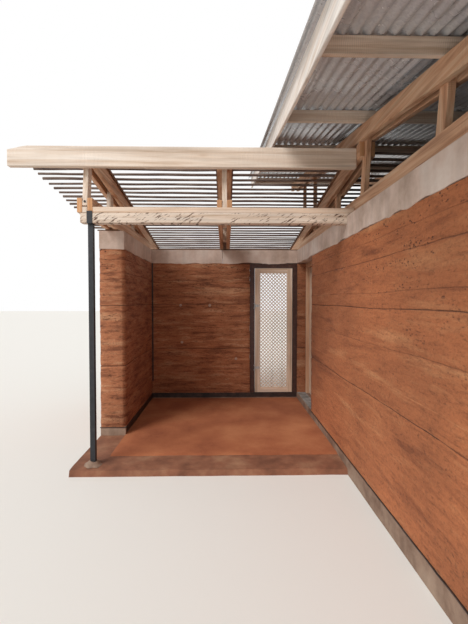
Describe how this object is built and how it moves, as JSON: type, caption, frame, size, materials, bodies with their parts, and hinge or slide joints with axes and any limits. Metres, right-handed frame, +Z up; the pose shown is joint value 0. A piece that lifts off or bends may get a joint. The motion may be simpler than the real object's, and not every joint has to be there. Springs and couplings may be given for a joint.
{
  "type": "rammed earth house with porch",
  "caption": "House with thick rammed earth walls on a concrete plinth, a porch niche under a pole lattice on timber trusses, and a rising corrugated metal roof.",
  "frame": {"origin": "on level ground under the middle of the porch", "axes": "+X east along the porch front, +Y north into the porch, +Z up"},
  "size_m": [8.431, 8.4411, 4.056],
  "materials": {
    "concrete": "smooth trowelled concrete, matt",
    "rammed_earth": "rammed earth in level layers, matt",
    "earth_floor": "red earth, matt",
    "sawn_timber": "rough sawn, untreated",
    "old_timber": "rough sawn, untreated",
    "poles": "round poles with bark",
    "door_timber": "pale, planed",
    "dark_steel": "dark paint, satin",
    "sheet_metal": "galvanised, half matt"
  },
  "bodies": {
    "house": {"porch_slab": "concrete", "porch_floor": "earth_floor", "room_floor": "earth_floor", "wing_plinth": "concrete", "north_plinth": "concrete", "side_plinths": "concrete", "south_plinth": "concrete", "wing_wall": "rammed_earth", "north_wall": "rammed_earth", "west_wall": "rammed_earth", "south_wall": "rammed_earth", "east_wall": "rammed_earth", "wing_ring_beam": "concrete", "north_ring_beam": "concrete", "side_ring_beams": "concrete", "south_ring_beam": "concrete", "screen_frame": "dark_steel", "door_frame": "sawn_timber", "hinge_pins": "dark_steel", "steel_post": "dark_steel", "front_beam": "sawn_timber", "packing_board": "sawn_timber", "front_fascia": "sawn_timber", "bedding_planks": "old_timber", "porch_bottom_chords": "sawn_timber", "porch_lattice_chords": "sawn_timber", "porch_webs": "sawn_timber", "room_bottom_chords": "sawn_timber", "room_rafters": "sawn_timber", "room_lattice_chords": "sawn_timber", "room_posts": "sawn_timber", "pole_boards": "old_timber", "porch_poles": "poles", "room_poles": "poles", "purlins": "sawn_timber", "roof_sheets": "sheet_metal", "barge_boards": "sawn_timber"},
    "screen_door": {"screen_leaf": "door_timber", "screen_mesh": "door_timber", "screen_hinge_straps": "dark_steel"},
    "room_door": {"door_leaf": "door_timber", "door_panel": "door_timber", "door_hinge_straps": "dark_steel"}
  },
  "joints": [
    {"name": "screen_door_hinge", "type": "hinge", "parent": "house", "child": "screen_door", "pos_m": [0.4975, 1.39, 1.1], "axis": [0, 0, -1], "range_deg": [0, 90]},
    {"name": "room_door_hinge", "type": "hinge", "parent": "house", "child": "room_door", "pos_m": [1.44, 1.3325, 1.1], "axis": [0, 0, 1], "range_deg": [0, 90]}
  ]
}
